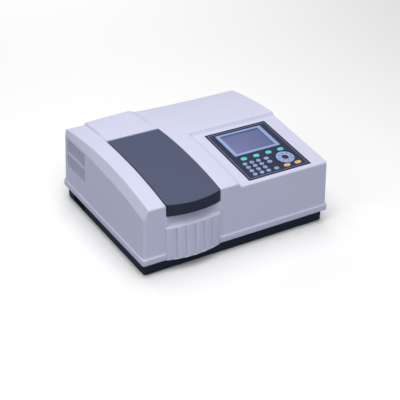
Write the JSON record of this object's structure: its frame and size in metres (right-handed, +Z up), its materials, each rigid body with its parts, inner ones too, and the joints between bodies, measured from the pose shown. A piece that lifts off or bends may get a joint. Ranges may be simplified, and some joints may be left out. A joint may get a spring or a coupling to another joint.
{
  "type": "spectrophotometer",
  "caption": "Bench ultraviolet-visible spectrophotometer with a curved sample lid, sloped control panel, display, keypad and black base tray.",
  "frame": {"origin": "on the bench under the middle of the case's outline", "axes": "+X to the operator's right, +Y to the back, +Z up"},
  "size_m": [0.55, 0.486, 0.2195],
  "materials": {
    "case_white": "fine moulded texture, satin",
    "tray_black": "moulded, satin",
    "lid_grey": "smooth satin, slate blue-grey",
    "panel_dark": "printed film, satin",
    "bezel_blue": "satin",
    "screen_blue": "unlit display behind a clear window",
    "key_blue": "satin",
    "key_green": "satin",
    "key_orange": "satin",
    "rubber": "matte",
    "switch_red": "gloss",
    "steel": "plain",
    "aluminium": "machined",
    "compartment_black": "matte black",
    "mirror": "front-silvered",
    "lamp_glass": "clear quartz",
    "board_green": "solder mask"
  },
  "bodies": {
    "case": {"main_cover": "case_white", "lamp_cover": "case_white", "front_fascia": "case_white", "side_vent_upper": "case_white", "side_vent_lower": "case_white", "base_tray": "tray_black", "keypad_panel": "panel_dark", "lcd_bezel": "bezel_blue", "lcd_screen": "screen_blue", "foot_front_left": "rubber", "foot_front_right": "rubber", "foot_rear_left": "rubber", "foot_rear_right": "rubber", "lid_gasket": "rubber", "lid_hinge_pin": "steel", "power_supply": "steel", "optical_bench": "aluminium", "sample_tub": "compartment_black", "power_inlet": "compartment_black", "carriage_motor": "compartment_black", "slit_plate": "compartment_black", "detector": "compartment_black", "fan_frame": "compartment_black", "collimating_mirror": "mirror", "deuterium_lamp": "lamp_glass", "tungsten_lamp": "lamp_glass", "main_board": "board_green"},
    "lid": {"sample_lid": "lid_grey"},
    "fan_rotor": {"fan_rotor": "compartment_black"},
    "power_switch": {"power_switch": "switch_red"},
    "cell_carriage": {"cell_carriage": "aluminium", "cuvette": "lamp_glass"},
    "carriage_screw": {"carriage_screw": "steel"},
    "grating_mount": {"grating_mount": "mirror"},
    "filter_wheel": {"filter_wheel": "compartment_black"},
    "lamp_mirror": {"lamp_mirror": "mirror"},
    "nav_gimbal": {"nav_gimbal": "compartment_black"},
    "nav_ring": {"nav_ring": "key_blue"},
    "nav_hub": {"nav_hub": "panel_dark"},
    "soft_key_1": {"soft_key_1": "key_green"},
    "soft_key_2": {"soft_key_2": "key_green"},
    "soft_key_3": {"soft_key_3": "key_green"},
    "soft_key_4": {"soft_key_4": "key_green"},
    "number_key_1": {"number_key_1": "key_blue"},
    "number_key_2": {"number_key_2": "key_blue"},
    "number_key_3": {"number_key_3": "key_blue"},
    "number_key_4": {"number_key_4": "key_blue"},
    "number_key_5": {"number_key_5": "key_blue"},
    "number_key_6": {"number_key_6": "key_blue"},
    "number_key_7": {"number_key_7": "key_blue"},
    "number_key_8": {"number_key_8": "key_blue"},
    "number_key_9": {"number_key_9": "key_blue"},
    "number_key_10": {"number_key_10": "key_blue"},
    "number_key_11": {"number_key_11": "key_blue"},
    "number_key_12": {"number_key_12": "key_blue"},
    "function_key_1": {"function_key_1": "key_blue"},
    "function_key_2": {"function_key_2": "key_blue"},
    "function_key_3": {"function_key_3": "key_blue"},
    "run_key_1": {"run_key_1": "key_orange"},
    "run_key_2": {"run_key_2": "key_orange"}
  },
  "joints": [
    {"name": "lid_hinge", "type": "hinge", "parent": "case", "child": "lid", "pos_m": [-0.131, 0.0877, 0.20995], "axis": [-1, 0, 0], "range_deg": [0, 78]},
    {"name": "power_switch_rock", "type": "hinge", "parent": "case", "child": "power_switch", "pos_m": [-0.257, 0.143, 0.0215], "axis": [0, 0, 1], "range_deg": [0, 16]},
    {"name": "carriage_slide", "type": "slide", "parent": "case", "child": "cell_carriage", "axis": [0, 1, 0], "range_m": [0, 0.08]},
    {"name": "screw_turn", "type": "hinge", "parent": "case", "child": "carriage_screw", "pos_m": [-0.103, -0.1985, 0.072], "axis": [0, 1, 0], "range_deg": [0, 2885]},
    {"name": "lamp_mirror_turn", "type": "hinge", "parent": "case", "child": "lamp_mirror", "pos_m": [-0.15, 0.12, 0.056], "axis": [0, 0, 1], "range_deg": [0, 50]},
    {"name": "filter_wheel_turn", "type": "hinge", "parent": "case", "child": "filter_wheel", "pos_m": [-0.075, 0.125, 0.092], "axis": [1, 0, 0], "continuous": true},
    {"name": "grating_turn", "type": "hinge", "parent": "case", "child": "grating_mount", "pos_m": [0.02, 0.15, 0.056], "axis": [0, 0, 1], "range_deg": [-20, 20]},
    {"name": "fan_spin", "type": "hinge", "parent": "case", "child": "fan_rotor", "pos_m": [-0.15, 0.214, 0.13], "axis": [0, 1, 0], "continuous": true},
    {"name": "nav_tilt_updown", "type": "hinge", "parent": "case", "child": "nav_gimbal", "pos_m": [0.1802, -0.15926, 0.1842], "axis": [1, 0, 0], "range_deg": [-3, 3]},
    {"name": "nav_tilt_sideways", "type": "hinge", "parent": "nav_gimbal", "child": "nav_ring", "pos_m": [0.1802, -0.15926, 0.1842], "axis": [0, 0.9908, 0.1354], "range_deg": [-3, 3]},
    {"name": "nav_hub_press", "type": "slide", "parent": "case", "child": "nav_hub", "axis": [0, 0.1354, -0.9908], "range_m": [0, 0.001]},
    {"name": "soft_key_1_press", "type": "slide", "parent": "case", "child": "soft_key_1", "axis": [0, 0.1354, -0.9908], "range_m": [0, 0.001]},
    {"name": "soft_key_2_press", "type": "slide", "parent": "case", "child": "soft_key_2", "axis": [0, 0.1354, -0.9908], "range_m": [0, 0.001]},
    {"name": "soft_key_3_press", "type": "slide", "parent": "case", "child": "soft_key_3", "axis": [0, 0.1354, -0.9908], "range_m": [0, 0.001]},
    {"name": "soft_key_4_press", "type": "slide", "parent": "case", "child": "soft_key_4", "axis": [0, 0.1354, -0.9908], "range_m": [0, 0.001]},
    {"name": "number_key_1_press", "type": "slide", "parent": "case", "child": "number_key_1", "axis": [0, 0.1354, -0.9908], "range_m": [0, 0.001]},
    {"name": "number_key_2_press", "type": "slide", "parent": "case", "child": "number_key_2", "axis": [0, 0.1354, -0.9908], "range_m": [0, 0.001]},
    {"name": "number_key_3_press", "type": "slide", "parent": "case", "child": "number_key_3", "axis": [0, 0.1354, -0.9908], "range_m": [0, 0.001]},
    {"name": "number_key_4_press", "type": "slide", "parent": "case", "child": "number_key_4", "axis": [0, 0.1354, -0.9908], "range_m": [0, 0.001]},
    {"name": "number_key_5_press", "type": "slide", "parent": "case", "child": "number_key_5", "axis": [0, 0.1354, -0.9908], "range_m": [0, 0.001]},
    {"name": "number_key_6_press", "type": "slide", "parent": "case", "child": "number_key_6", "axis": [0, 0.1354, -0.9908], "range_m": [0, 0.001]},
    {"name": "number_key_7_press", "type": "slide", "parent": "case", "child": "number_key_7", "axis": [0, 0.1354, -0.9908], "range_m": [0, 0.001]},
    {"name": "number_key_8_press", "type": "slide", "parent": "case", "child": "number_key_8", "axis": [0, 0.1354, -0.9908], "range_m": [0, 0.001]},
    {"name": "number_key_9_press", "type": "slide", "parent": "case", "child": "number_key_9", "axis": [0, 0.1354, -0.9908], "range_m": [0, 0.001]},
    {"name": "number_key_10_press", "type": "slide", "parent": "case", "child": "number_key_10", "axis": [0, 0.1354, -0.9908], "range_m": [0, 0.001]},
    {"name": "number_key_11_press", "type": "slide", "parent": "case", "child": "number_key_11", "axis": [0, 0.1354, -0.9908], "range_m": [0, 0.001]},
    {"name": "number_key_12_press", "type": "slide", "parent": "case", "child": "number_key_12", "axis": [0, 0.1354, -0.9908], "range_m": [0, 0.001]},
    {"name": "function_key_1_press", "type": "slide", "parent": "case", "child": "function_key_1", "axis": [0, 0.1354, -0.9908], "range_m": [0, 0.001]},
    {"name": "function_key_2_press", "type": "slide", "parent": "case", "child": "function_key_2", "axis": [0, 0.1354, -0.9908], "range_m": [0, 0.001]},
    {"name": "function_key_3_press", "type": "slide", "parent": "case", "child": "function_key_3", "axis": [0, 0.1354, -0.9908], "range_m": [0, 0.001]},
    {"name": "run_key_1_press", "type": "slide", "parent": "case", "child": "run_key_1", "axis": [0, 0.1354, -0.9908], "range_m": [0, 0.001]},
    {"name": "run_key_2_press", "type": "slide", "parent": "case", "child": "run_key_2", "axis": [0, 0.1354, -0.9908], "range_m": [0, 0.001]}
  ],
  "couplings": [
    {"joint": "screw_turn", "follows": "carriage_slide", "rad_per_m": 628.32}
  ]
}
